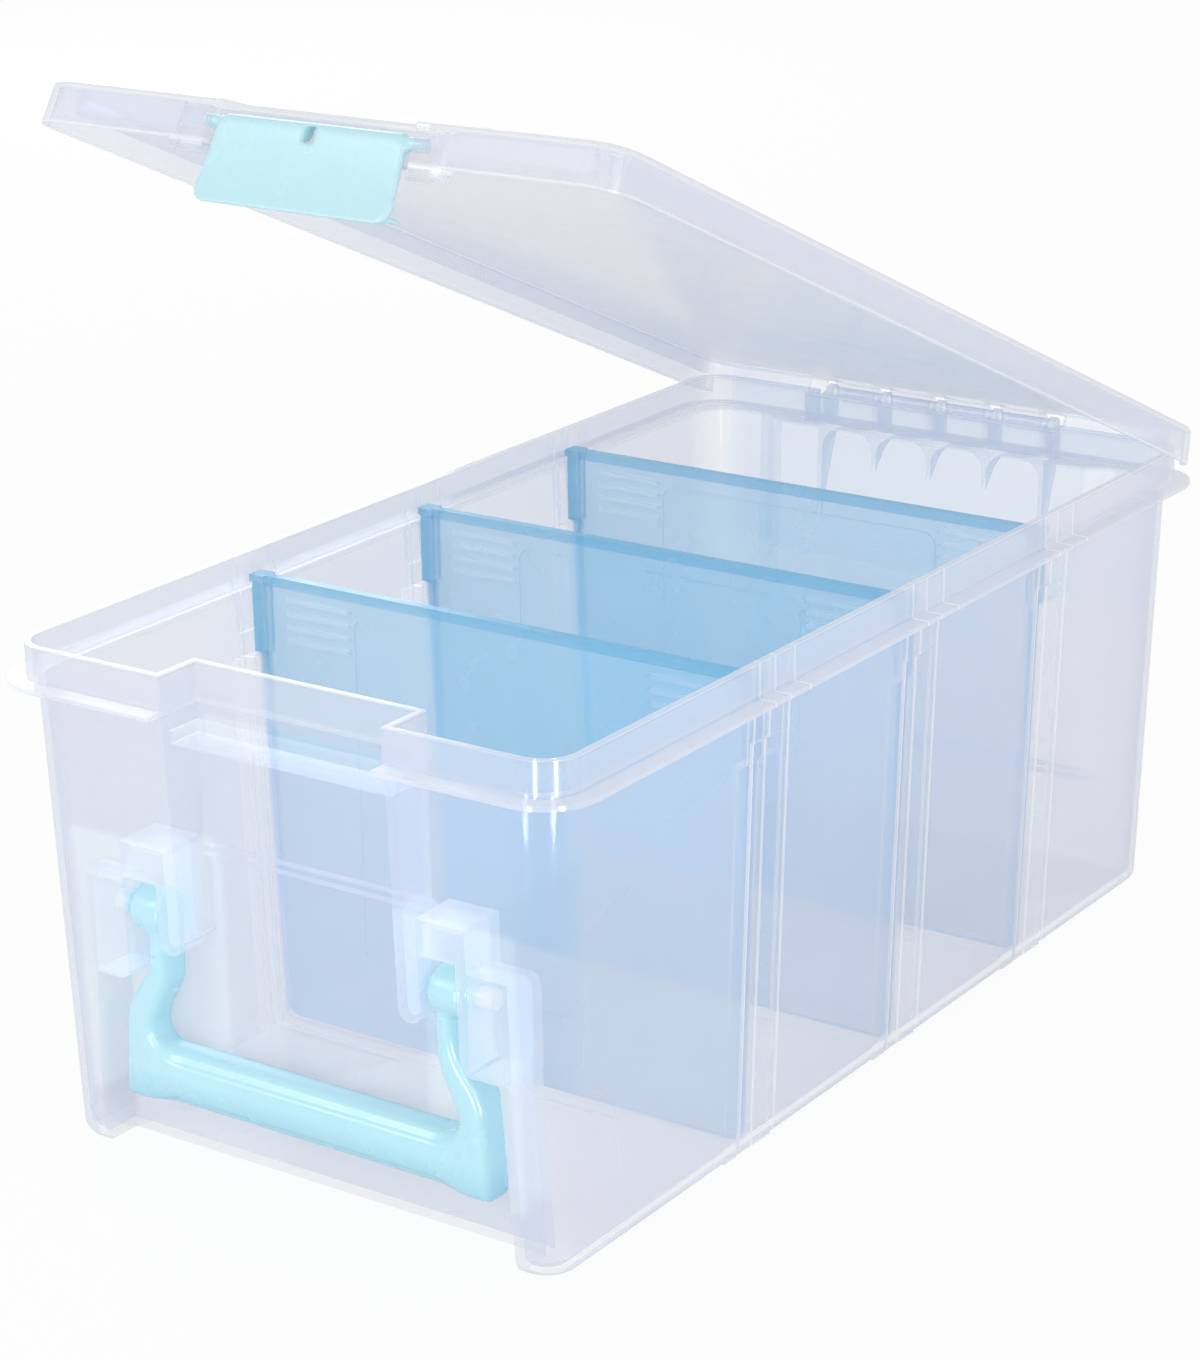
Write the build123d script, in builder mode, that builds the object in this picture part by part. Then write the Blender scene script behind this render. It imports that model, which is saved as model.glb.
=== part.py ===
"""Storage satchel: a drafted clear tub with a hinged lid, a front latch, a swinging
carry handle and three dividers that lift straight up.

Millimetres. X is the width, Y the length with the latch end at -Y and the hinge end
at +Y, Z is up and the tub stands on Z = 0. The lid is shown open."""

import os
from math import atan, cos, degrees, hypot, radians, sin, tan

from build123d import *

os.makedirs("parts", exist_ok=True)

# Rim neck, which the lid's skirt goes round, and the flange at its foot
NECK_HALF_X = 98.3
NECK_HALF_Y = 189.5
NECK_RADIUS = 12.0
NECK_WALL = 2.05
FLANGE_Z = 146.9
FLANGE_THICK = 1.5
FLANGE_TOP = FLANGE_Z + FLANGE_THICK
FLANGE_REACH = 5.5
FLANGE_RADIUS = NECK_RADIUS + FLANGE_REACH
FLANGE_HALF_X = NECK_HALF_X + FLANGE_REACH
FLANGE_HALF_Y = NECK_HALF_Y + FLANGE_REACH
RIM_Z = FLANGE_TOP + 11.0

# Tub walls
DRAFT = 2.15
SLOPE = tan(radians(DRAFT))
WALL = 2.0
FOOT_HALF_X = NECK_HALF_X - 7.1
FOOT_HALF_Y = NECK_HALF_Y - 6.2
FOOT_RADIUS = NECK_RADIUS - 1.0
FOOT_EDGE = 5.0
FLOOR_EDGE = 3.0

# Handle bay in the lower front wall, with pivot pockets and alcoves above it
PIVOT_Y = -NECK_HALF_Y + 11.0
PIVOT_Z = FLANGE_Z - 65.9
BAY_BACK_FOOT = -NECK_HALF_Y + 20.5
BAY_BACK_RISE = 1.4
BAY_FOOT_HALF = FOOT_HALF_X - 13.9
BAY_TOP_HALF = BAY_FOOT_HALF - 3.0
BAY_TOP_Z = PIVOT_Z - 22.0
BAY_REACH = 40.0
ALCOVE_OUTER = BAY_TOP_HALF + 0.7
ALCOVE_RADIUS = 8.5
POCKET_OUTER = ALCOVE_OUTER - 14.0
POCKET_LINTEL_Z = PIVOT_Z + 12.0
POCKET_CEILING_Z = PIVOT_Z + 20.0
PLATE_DEPTH = 13.8
PLATE_CORNER = 4.0
LUG_OUTER = POCKET_OUTER - 13.0
LUG_INNER = LUG_OUTER - 8.0
LUG_FOOT_Z = PIVOT_Z - 10.0
LUG_ROUND = 3.9

# Latch channel above the bay, open at the rim
CHANNEL_HALF = LUG_INNER
CHANNEL_BACK = -NECK_HALF_Y + 16.0
CHANNEL_STEP_Z = PIVOT_Z + 18.5
LEDGE_FRONT = -NECK_HALF_Y + 3.3
LEDGE_Z = FLANGE_Z - 8.9
LEDGE_THICK = 4.0

# Handle
HANDLE_PIN = 3.5
PIN_CLEARANCE = 0.08
HANDLE_PIN_END = POCKET_OUTER + 9.0
BARREL_RADIUS = 7.2
BARREL_INNER = LUG_OUTER + 1.6
BARREL_OUTER = POCKET_OUTER - 0.4
ARM_FRONT = PIVOT_Y - 5.0
ARM_BACK = PIVOT_Y + 7.2
UPPER_ARM_INNER = LUG_OUTER + 2.0
UPPER_ARM_OUTER = UPPER_ARM_INNER + 6.0
LOWER_ARM_INNER = UPPER_ARM_INNER + 7.0
LOWER_ARM_OUTER = LOWER_ARM_INNER + 11.0
JOG_TOP_Z = PIVOT_Z - 18.0
JOG_FOOT_Z = PIVOT_Z - 31.5
JOG_ROUND = 16.0
ELBOW_ROUND = 5.5
GRIP_TOP_Z = PIVOT_Z - 44.0
GRIP_HEIGHT = 18.0
GRIP_FOOT_Z = GRIP_TOP_Z - GRIP_HEIGHT
GRIP_ROUND = 2.8
GRIP_EDGE = 1.5
GRIP_WALL = 2.6
GRIP_POCKETS = 6

# Rear wall recess and hinge comb
REAR_MOUTH_HALF = FOOT_HALF_X - 20.2
REAR_FLOOR_HALF = REAR_MOUTH_HALF - 9.0
REAR_TOP_Y = NECK_HALF_Y - 6.0
REAR_DEPTH = 5.3
REAR_FOOT_Z = 35.0
REAR_FOOT_Y = REAR_TOP_Y - 3.9
HINGE_HALF = REAR_FLOOR_HALF - 13.0
HINGE_Y = NECK_HALF_Y + 2.57
HINGE_Z = RIM_Z - 1.16
ROD_RADIUS = 2.0
EAR_PITCH = (HINGE_HALF - 3.6) / 2
EAR_THICK = 2.4
ROD_END = 2 * EAR_PITCH + EAR_THICK / 2
EAR_HEAD = 2.9
EAR_FOOT_Y = HINGE_Y + 1.93
GUSSET_THICK = 1.8
GUSSET_FOOT_Z = FLANGE_Z - 13.9
END_GUSSET_FOOT_Z = FLANGE_Z - 34.9
ARCH_RADIUS = 7.5

# Divider guides
DIVIDER_Y = {"divider_front": -81.0, "divider_middle": 7.0, "divider_rear": 93.0}
GUIDE_TOP_Z = FLANGE_Z - 19.9
GUIDE_PROUD = 3.6
SLOT_PROUD = 1.3
SLOT_HALF = 1.3
GUIDE_START = -14.0
GUIDE_STEP = -7.0
GUIDE_END = 12.0
GROOVE_TOP_Z = GUIDE_TOP_Z + 7.0
GROOVE_DEPTH = 1.3

# Lid, drawn level with Z = 0 at the skirt's lower edge
LID_OPEN = 24.0
LID_CLOSED_Z = FLANGE_TOP + 2.8
LID_HALF_X = NECK_HALF_X + 3.7
LID_HALF_Y = NECK_HALF_Y + 5.5
LID_RADIUS = 12.8
LID_HEIGHT = 12.7
LID_INSET = 1.3
LID_WALL = 1.8
LID_PLATE = 1.8
LID_EDGE = 2.2
LID_DRAFT = degrees(atan(LID_INSET / LID_HEIGHT))
LID_UNDER = LID_HEIGHT - LID_PLATE
TONGUE_GAP = 0.55
TONGUE_HALF_X = NECK_HALF_X - NECK_WALL - TONGUE_GAP
TONGUE_HALF_Y = NECK_HALF_Y - NECK_WALL - TONGUE_GAP
TONGUE_RADIUS = NECK_RADIUS - NECK_WALL - TONGUE_GAP
TONGUE_WALL = 1.5
TONGUE_FOOT = 5.4
TONGUE_FRONT_GAP = CHANNEL_HALF + 4.0
TONGUE_REAR_GAP = HINGE_HALF + 3.0
SKIRT_RELIEF_HALF = LID_HALF_X - 5.5
SKIRT_RELIEF = 5.5
HOOK_BORE = ROD_RADIUS + 0.1
HOOK_RADIUS = 3.7
HOOK_WIDTH = EAR_PITCH - 7.7
HOOK_MOUTH = 3.4
NOTCH_BACK = -LID_HALF_Y + 7.0
NOTCH_FRONT_HALF = CHANNEL_HALF - 4.0
NOTCH_BACK_HALF = NOTCH_FRONT_HALF - 5.7
NOTCH_EDGE = 1.2
EAR_BLOCK_FOOT = -2.6
EAR_BLOCK_DEEP = CHANNEL_HALF - 0.4
EAR_BLOCK_OUTER = CHANNEL_HALF + 7.0
EAR_BLOCK_BACK = -NECK_HALF_Y - 0.5
EAR_BLOCK_DEEP_BACK = NOTCH_BACK + LID_WALL

# Latch, drawn in the same level frame as the lid
LATCH_PIVOT_Y = NOTCH_BACK - 3.4
LATCH_PIVOT_Z = 6.2
LATCH_BARREL = 2.7
LATCH_BARREL_HALF = NOTCH_BACK_HALF + 0.1
LATCH_TOP_HALF = LATCH_BARREL_HALF + 1.8
LATCH_PIN = 2.0
LATCH_PIN_END = EAR_BLOCK_DEEP - 2.0
LATCH_HOLE_END = LATCH_PIN_END + 0.4
LATCH_THICK = 2.0
LIP_TOP_Z = LEDGE_Z - LID_CLOSED_Z - 0.3
LIP_FOOT_Z = LIP_TOP_Z - 3.2
LIP_TIP_Y = LEDGE_FRONT + 2.3
LATCH_FOOT_Z = LIP_TOP_Z - 3.5
LATCH_FOOT_Y = LATCH_PIVOT_Y - 5.4
LATCH_FOOT_HALF = CHANNEL_HALF - 5.8
LATCH_BOW = 0.5
LATCH_CORNER = 4.0
LIP_HALF = LATCH_FOOT_HALF - 4.7
LATCH_SLOT = (4.0, 4.9)
LATCH_SLOT_Z = LATCH_PIVOT_Z - 1.05

# Dividers, drawn with the plate centred on Y = 0
PLATE_HALF_THICK = 1.0
DIVIDER_FOOT_Z = WALL + 0.6
DIVIDER_TOP_Z = RIM_Z - 6.4
DIVIDER_GAP = 0.4
DIVIDER_CORNER = 5.0
BEAD_WIDTH = 4.4
BEAD_GAP = 0.3
BEAD_HALF_THICK = 2.4
BEAD_FOOT_Z = GUIDE_TOP_Z + 0.3
CAP_WIDTH = 5.6
CAP_HALF_THICK = 3.0
CAP_HEIGHT = 2.4
RAIL_HALF_THICK = 1.6
RAIL_HEIGHT = 3.0
PANEL_SIDE = 38.0
PANEL_FOOT_Z = 28.0
PANEL_TOP_Z = DIVIDER_TOP_Z - 8.0
PANEL_RADIUS = 5.0
PANEL_DEPTH = 0.5
TICKS = 4
TICK_TOP_Z = DIVIDER_TOP_Z - 7.0
TICK_PITCH = 4.4
TICK_SIDE = 13.0
TICK_LENGTH = 24.0
TICK_HEIGHT = 2.0
TICK_PROUD = 0.5

BAY_LEAN = hypot(BAY_BACK_RISE, CHANNEL_STEP_Z)
BAY_PLANE = Plane(
    origin=(0, BAY_BACK_FOOT, 0),
    x_dir=(1, 0, 0),
    z_dir=(0, -CHANNEL_STEP_Z / BAY_LEAN, -BAY_BACK_RISE / BAY_LEAN),
)


def tub_block(inset: float, foot_z: float, top_z: float) -> Part:
    """Drafted block that lies `inset` inside the tub's outer walls, rounded or cut at its foot."""
    grow = foot_z * SLOPE - inset
    with BuildPart() as block:
        with BuildSketch(Plane.XY.offset(foot_z)):
            RectangleRounded(
                2 * (FOOT_HALF_X + grow), 2 * (FOOT_HALF_Y + grow), FOOT_RADIUS - inset
            )
        extrude(amount=top_z - foot_z, taper=-DRAFT)
        foot_edges = block.faces().sort_by(Axis.Z)[0].edges()
        if inset:
            chamfer(foot_edges, FLOOR_EDGE)
        else:
            fillet(foot_edges, FOOT_EDGE)
    return block.part


def upright_block(half_x: float, half_y: float, radius: float, foot_z: float, top_z: float) -> Part:
    """Straight block with rounded corners."""
    with BuildPart() as block:
        with BuildSketch(Plane.XY.offset(foot_z)):
            RectangleRounded(2 * half_x, 2 * half_y, radius)
        extrude(amount=top_z - foot_z)
    return block.part


def front_recess(grow: float) -> Part:
    """Latch channel, handle bay, pivot pockets and alcoves, enlarged by `grow`."""
    plate_reach = BAY_REACH if grow else PLATE_DEPTH
    with BuildPart() as recess:
        with BuildSketch(BAY_PLANE.offset(-grow)) as opening:
            Polygon(
                (-BAY_FOOT_HALF, 0),
                (BAY_FOOT_HALF, 0),
                (BAY_TOP_HALF, BAY_TOP_Z),
                (-BAY_TOP_HALF, BAY_TOP_Z),
                align=None,
            )
            with Locations((0, BAY_TOP_Z / 2 + POCKET_LINTEL_Z / 2)):
                Rectangle(2 * POCKET_OUTER, POCKET_LINTEL_Z - BAY_TOP_Z)
            lug_corners = [
                v for v in opening.vertices() if abs(abs(v.X) - POCKET_OUTER) < 0.1 and v.Y < BAY_TOP_Z + 1
            ]
            fillet(lug_corners, PLATE_CORNER)
            lug_mid = (LUG_INNER + LUG_OUTER) / 2
            lug_height = CHANNEL_STEP_Z - LUG_FOOT_Z
            with Locations(
                (-lug_mid, LUG_FOOT_Z + lug_height / 2), (lug_mid, LUG_FOOT_Z + lug_height / 2)
            ):
                RectangleRounded(LUG_OUTER - LUG_INNER, lug_height, LUG_ROUND, mode=Mode.SUBTRACT)
            with Locations((0, BAY_TOP_Z / 2 + CHANNEL_STEP_Z / 2)):
                Rectangle(2 * CHANNEL_HALF, CHANNEL_STEP_Z - BAY_TOP_Z)
            if grow:
                offset(amount=grow)
        extrude(amount=BAY_REACH)
        with BuildSketch(BAY_PLANE.offset(-grow)):
            pocket_mid = (LUG_OUTER + POCKET_OUTER) / 2
            pocket_z = (BAY_TOP_Z + POCKET_CEILING_Z) / 2
            with Locations((-pocket_mid, pocket_z), (pocket_mid, pocket_z)):
                Rectangle(
                    POCKET_OUTER - LUG_OUTER + 2 * grow, POCKET_CEILING_Z - BAY_TOP_Z + 2 * grow
                )
        extrude(amount=plate_reach)
        for side in (-1, 1):
            with BuildSketch(Plane.YZ.offset(side * (POCKET_OUTER + WALL + ALCOVE_OUTER) / 2)):
                with Locations((PIVOT_Y, PIVOT_Z)):
                    Circle(ALCOVE_RADIUS + grow)
                with Locations((PIVOT_Y, (PIVOT_Z + BAY_TOP_Z) / 2)):
                    Rectangle(2 * (ALCOVE_RADIUS + grow), PIVOT_Z - BAY_TOP_Z)
                if not grow:
                    with Locations((BAY_BACK_FOOT - PLATE_DEPTH - BAY_BACK_RISE, PIVOT_Z)):
                        Rectangle(
                            BAY_REACH,
                            BAY_REACH * 2,
                            align=(Align.MAX, Align.CENTER),
                            mode=Mode.SUBTRACT,
                        )
            extrude(amount=(ALCOVE_OUTER - POCKET_OUTER - WALL) / 2 + grow, both=True)
        with BuildSketch(Plane.XY.offset(PIVOT_Z)):
            with Locations((0, CHANNEL_BACK + grow)):
                Rectangle(2 * (CHANNEL_HALF + grow), BAY_REACH, align=(Align.CENTER, Align.MAX))
        extrude(amount=RIM_Z - PIVOT_Z + WALL)
    return recess.part


def rear_recess(grow: float, top_z: float) -> Part:
    """Shallow recess of the rear wall with slanted sides, enlarged by `grow`."""
    lean = (REAR_TOP_Y - REAR_FOOT_Y) / (FLANGE_Z - REAR_FOOT_Z)
    flare = (REAR_MOUTH_HALF - REAR_FLOOR_HALF) / REAR_DEPTH
    floor_y = REAR_TOP_Y + lean * (top_z - FLANGE_Z) - grow
    reach = 4 * REAR_DEPTH
    drop = top_z - REAR_FOOT_Z + grow
    with BuildPart() as recess:
        with BuildSketch(Plane.XY.offset(top_z)):
            Polygon(
                (-REAR_FLOOR_HALF - grow, floor_y),
                (REAR_FLOOR_HALF + grow, floor_y),
                (REAR_FLOOR_HALF + grow + flare * reach, floor_y + reach),
                (-REAR_FLOOR_HALF - grow - flare * reach, floor_y + reach),
                align=None,
            )
        extrude(amount=drop * hypot(1, lean), dir=(0, -lean, -1))
    return recess.part


def hinge_bay(grow: float) -> Part:
    """Room for the hinge comb behind the rear neck wall, enlarged by `grow`."""
    with BuildPart() as bay:
        with BuildSketch(Plane.XY.offset(FLANGE_TOP)):
            with Locations((0, REAR_TOP_Y - grow)):
                Rectangle(2 * (HINGE_HALF + grow), BAY_REACH, align=(Align.CENTER, Align.MIN))
        extrude(amount=RIM_Z - FLANGE_TOP + WALL)
    return bay.part


def gusset_row(foot_z: float, arched: bool) -> Part:
    """Wedge under the rear deck, arched out between the gussets or kept at its ends only."""
    lean = (REAR_TOP_Y - REAR_FOOT_Y) / (FLANGE_Z - REAR_FOOT_Z)
    foot_y = REAR_TOP_Y - lean * (FLANGE_Z - foot_z)
    end = 2 * EAR_PITCH + GUSSET_THICK / 2
    with BuildPart() as row:
        with BuildSketch(Plane.YZ):
            Polygon(
                (REAR_TOP_Y - WALL / 2, FLANGE_Z + FLANGE_THICK / 2),
                (FLANGE_HALF_Y, FLANGE_Z + FLANGE_THICK / 2),
                (FLANGE_HALF_Y, FLANGE_Z),
                (foot_y, foot_z),
                (foot_y - WALL / 2, foot_z),
                align=None,
            )
        extrude(amount=end, both=True)
        with BuildSketch(Plane.XZ.offset(-REAR_FOOT_Y + WALL)):
            if arched:
                for step in (-1.5, -0.5, 0.5, 1.5):
                    with Locations((step * EAR_PITCH, FLANGE_Z)):
                        RectangleRounded(
                            EAR_PITCH - GUSSET_THICK,
                            4 * ARCH_RADIUS,
                            ARCH_RADIUS,
                            align=(Align.CENTER, Align.MAX),
                        )
            else:
                with Locations((0, FLANGE_Z + FLANGE_THICK)):
                    Rectangle(
                        2 * (end - GUSSET_THICK), 3 * BAY_REACH, align=(Align.CENTER, Align.MAX)
                    )
        extrude(amount=-BAY_REACH, mode=Mode.SUBTRACT)
    return row.part


with BuildPart() as cavity:
    add(tub_block(WALL, WALL, FLANGE_TOP))
    add(rear_recess(WALL, FLANGE_TOP), mode=Mode.SUBTRACT)
    add(
        upright_block(
            NECK_HALF_X - NECK_WALL,
            NECK_HALF_Y - NECK_WALL,
            NECK_RADIUS - NECK_WALL,
            FLANGE_TOP,
            RIM_Z + WALL,
        )
    )
    add(hinge_bay(WALL), mode=Mode.SUBTRACT)
    add(front_recess(WALL), mode=Mode.SUBTRACT)

with BuildPart() as base:
    add(tub_block(0, 0, FLANGE_Z))
    add(rear_recess(0, FLANGE_Z), mode=Mode.SUBTRACT)
    add(upright_block(FLANGE_HALF_X, FLANGE_HALF_Y, FLANGE_RADIUS, FLANGE_Z, FLANGE_TOP))
    add(upright_block(NECK_HALF_X, NECK_HALF_Y, NECK_RADIUS, FLANGE_TOP, RIM_Z))
    add(hinge_bay(0), mode=Mode.SUBTRACT)
    add(front_recess(0), mode=Mode.SUBTRACT)
    add(cavity.part, mode=Mode.SUBTRACT)

    # Catch ledge for the latch
    with BuildSketch(Plane.XY.offset(LEDGE_Z)):
        with Locations((0, (LEDGE_FRONT + CHANNEL_BACK + WALL / 2) / 2)):
            Rectangle(2 * CHANNEL_HALF + WALL, CHANNEL_BACK + WALL / 2 - LEDGE_FRONT)
    extrude(amount=LEDGE_THICK)

    # Bearing holes of the handle
    for side in (-1, 1):
        with BuildSketch(Plane.YZ.offset(side * (POCKET_OUTER + WALL / 2))):
            with Locations((PIVOT_Y, PIVOT_Z)):
                Circle(HANDLE_PIN + PIN_CLEARANCE)
        extrude(amount=WALL, both=True, mode=Mode.SUBTRACT)

    # Hinge comb: ears above the rear deck and the rod
    for step in range(-2, 3):
        with BuildSketch(Plane.YZ.offset(step * EAR_PITCH)):
            with Locations((HINGE_Y, HINGE_Z)):
                Circle(EAR_HEAD)
            Polygon(
                (REAR_TOP_Y - WALL / 2, FLANGE_Z),
                (EAR_FOOT_Y, FLANGE_Z),
                (HINGE_Y + EAR_HEAD, HINGE_Z),
                (HINGE_Y, HINGE_Z + ROD_RADIUS),
                (REAR_TOP_Y - WALL / 2, RIM_Z - WALL),
                align=None,
            )
        extrude(amount=EAR_THICK / 2, both=True)
    with BuildSketch(Plane.YZ):
        with Locations((HINGE_Y, HINGE_Z)):
            Circle(ROD_RADIUS)
    extrude(amount=ROD_END, both=True)
    add(gusset_row(GUSSET_FOOT_Z, True))
    add(gusset_row(END_GUSSET_FOOT_Z, False))

    # Divider guides inside and the grooves that mark them outside
    for divider_y in DIVIDER_Y.values():
        for side in (-1, 1):
            wall_x = side * (FOOT_HALF_X - WALL)
            with BuildSketch(Plane.XY.offset(WALL / 2)):
                shift = side * WALL / 2 * SLOPE
                Polygon(
                    (wall_x + shift + side, divider_y + GUIDE_START),
                    (wall_x + shift, divider_y + GUIDE_START),
                    (wall_x + shift - side * GUIDE_PROUD, divider_y + GUIDE_STEP),
                    (wall_x + shift - side * GUIDE_PROUD, divider_y - SLOT_HALF),
                    (wall_x + shift - side * SLOT_PROUD, divider_y - SLOT_HALF),
                    (wall_x + shift - side * SLOT_PROUD, divider_y + SLOT_HALF),
                    (wall_x + shift - side * GUIDE_PROUD, divider_y + SLOT_HALF),
                    (wall_x + shift - side * GUIDE_PROUD, divider_y - GUIDE_STEP),
                    (wall_x + shift, divider_y + GUIDE_END),
                    (wall_x + shift + side, divider_y + GUIDE_END),
                    align=None,
                )
            extrude(amount=(GUIDE_TOP_Z - WALL / 2) * hypot(1, SLOPE), dir=(side * SLOPE, 0, 1))
            with BuildSketch(Plane.XY):
                rise = GROOVE_DEPTH / (GUIDE_END - SLOT_HALF)
                face_x = side * FOOT_HALF_X
                outside_x = face_x + side * WALL
                Polygon(
                    (outside_x, divider_y + GUIDE_STEP),
                    (face_x - side * GROOVE_DEPTH, divider_y + GUIDE_STEP),
                    (face_x - side * GROOVE_DEPTH, divider_y + SLOT_HALF),
                    (face_x + side * rise, divider_y + GUIDE_END + 1),
                    (outside_x, divider_y + GUIDE_END + 1),
                    align=None,
                )
            extrude(
                amount=GROOVE_TOP_Z * hypot(1, SLOPE), dir=(side * SLOPE, 0, 1), mode=Mode.SUBTRACT
            )

base.part.label = "base"
export_step(base.part, "parts/base.step")

# Rest pose of the lid: turned open about the rod
LID_AXIS_Z = HINGE_Z - LID_CLOSED_Z
LID_TURN = radians(LID_OPEN)
LID_REST = Plane(
    origin=(
        0,
        HINGE_Y - HINGE_Y * cos(LID_TURN) - LID_AXIS_Z * sin(LID_TURN),
        HINGE_Z + HINGE_Y * sin(LID_TURN) - LID_AXIS_Z * cos(LID_TURN),
    ),
    x_dir=(1, 0, 0),
    z_dir=(0, sin(LID_TURN), cos(LID_TURN)),
).location


def notch_outline(grow: float, reach: float) -> Sketch:
    """Plan of the latch notch, flaring to the front, enlarged by `grow`."""
    flare = (NOTCH_FRONT_HALF - NOTCH_BACK_HALF) / (NOTCH_BACK + LID_HALF_Y)
    with BuildSketch(Plane.XY.offset(EAR_BLOCK_FOOT)) as outline:
        Polygon(
            (-NOTCH_BACK_HALF - grow, NOTCH_BACK + grow),
            (NOTCH_BACK_HALF + grow, NOTCH_BACK + grow),
            (NOTCH_BACK_HALF + grow + flare * reach, NOTCH_BACK - reach),
            (-NOTCH_BACK_HALF - grow - flare * reach, NOTCH_BACK - reach),
            align=None,
        )
    return outline.sketch


with BuildPart() as level_lid:
    with BuildSketch():
        RectangleRounded(2 * LID_HALF_X, 2 * LID_HALF_Y, LID_RADIUS)
    extrude(amount=LID_HEIGHT, taper=LID_DRAFT)
    fillet(level_lid.faces().sort_by(Axis.Z)[-1].edges(), LID_EDGE)
    with BuildSketch():
        RectangleRounded(
            2 * (LID_HALF_X - LID_WALL), 2 * (LID_HALF_Y - LID_WALL), LID_RADIUS - LID_WALL
        )
    extrude(amount=LID_UNDER, taper=LID_DRAFT, mode=Mode.SUBTRACT)

    # Tongue that drops inside the neck
    with BuildSketch(Plane.XY.offset(TONGUE_FOOT)):
        RectangleRounded(2 * TONGUE_HALF_X, 2 * TONGUE_HALF_Y, TONGUE_RADIUS)
        RectangleRounded(
            2 * (TONGUE_HALF_X - TONGUE_WALL),
            2 * (TONGUE_HALF_Y - TONGUE_WALL),
            TONGUE_RADIUS - TONGUE_WALL,
            mode=Mode.SUBTRACT,
        )
        with Locations((0, -TONGUE_HALF_Y)):
            Rectangle(2 * TONGUE_FRONT_GAP, 4 * TONGUE_WALL, mode=Mode.SUBTRACT)
        with Locations((0, TONGUE_HALF_Y)):
            Rectangle(2 * TONGUE_REAR_GAP, 4 * TONGUE_WALL, mode=Mode.SUBTRACT)
    extrude(amount=LID_UNDER + LID_PLATE / 2 - TONGUE_FOOT)

    # Rear skirt cut away at the comb and raised beside it
    with BuildSketch():
        with Locations((0, LID_HALF_Y)):
            Rectangle(2 * HINGE_HALF, 4 * LID_WALL)
    extrude(amount=LID_UNDER, mode=Mode.SUBTRACT)
    with BuildSketch():
        with Locations((0, LID_HALF_Y)):
            Rectangle(2 * SKIRT_RELIEF_HALF, 8 * LID_WALL)
    extrude(amount=SKIRT_RELIEF, mode=Mode.SUBTRACT)

    # Wall round the latch notch
    with BuildSketch():
        with Locations((0, NOTCH_BACK + LID_WALL)):
            Rectangle(
                2 * EAR_BLOCK_DEEP, NOTCH_BACK + LID_WALL + LID_HALF_Y - 1, align=(Align.CENTER, Align.MAX)
            )
    extrude(amount=LID_UNDER + LID_PLATE / 2)

    # Ear blocks that carry the latch pins
    front_lean = LID_INSET / LID_HEIGHT
    for back_y, outer_x in (
        (EAR_BLOCK_DEEP_BACK, EAR_BLOCK_DEEP),
        (EAR_BLOCK_BACK, EAR_BLOCK_OUTER),
    ):
        for side in (-1, 1):
            with BuildSketch(Plane.YZ.offset(side * (NOTCH_BACK_HALF + outer_x) / 2)):
                Polygon(
                    (-LID_HALF_Y, EAR_BLOCK_FOOT),
                    (-LID_HALF_Y, 0),
                    (-LID_HALF_Y + front_lean * LID_UNDER, LID_UNDER),
                    (-LID_HALF_Y + 2 * LID_WALL, LID_UNDER + LID_PLATE / 2),
                    (back_y, LID_UNDER + LID_PLATE / 2),
                    (back_y, EAR_BLOCK_FOOT),
                    align=None,
                )
            extrude(amount=(outer_x - NOTCH_BACK_HALF) / 2, both=True)
    add(notch_outline(0, BAY_REACH))
    extrude(amount=2 * LID_HEIGHT, mode=Mode.SUBTRACT)
    notch_edges = level_lid.edges().filter_by(
        lambda e: abs(e.center().Z - LID_HEIGHT) < 0.01 and abs(e.center().X) < 1
        and NOTCH_BACK - 1 < e.center().Y < NOTCH_BACK + 1
    )
    fillet(notch_edges, NOTCH_EDGE)
    for side in (-1, 1):
        with BuildSketch(Plane.YZ.offset(side * (NOTCH_BACK_HALF + LATCH_HOLE_END) / 2)):
            with Locations((LATCH_PIVOT_Y, LATCH_PIVOT_Z)):
                Circle(LATCH_PIN + PIN_CLEARANCE)
        extrude(amount=(LATCH_HOLE_END - NOTCH_BACK_HALF) / 2, both=True, mode=Mode.SUBTRACT)

    # Hooks that snap over the rod between the ears
    for step in (-1.5, -0.5, 0.5, 1.5):
        with BuildSketch(Plane.YZ.offset(step * EAR_PITCH)):
            with Locations((HINGE_Y, LID_AXIS_Z)):
                Circle(HOOK_RADIUS)
            Polygon(
                (HINGE_Y - 2 * HOOK_RADIUS, LID_UNDER + LID_PLATE / 2),
                (HINGE_Y - 2 * HOOK_RADIUS, LID_UNDER),
                (HINGE_Y - HOOK_RADIUS, LID_AXIS_Z),
                (HINGE_Y, LID_AXIS_Z),
                (HINGE_Y, LID_UNDER + LID_PLATE / 2),
                align=None,
            )
            with Locations((HINGE_Y, LID_AXIS_Z)):
                Circle(HOOK_BORE, mode=Mode.SUBTRACT)
                Rectangle(
                    HOOK_MOUTH, 2 * HOOK_RADIUS, align=(Align.CENTER, Align.MAX), mode=Mode.SUBTRACT
                )
        extrude(amount=HOOK_WIDTH / 2, both=True)

with BuildPart() as lid:
    add(level_lid.part.moved(LID_REST))

lid.part.label = "lid"
export_step(lid.part, "parts/lid.step")

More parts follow.
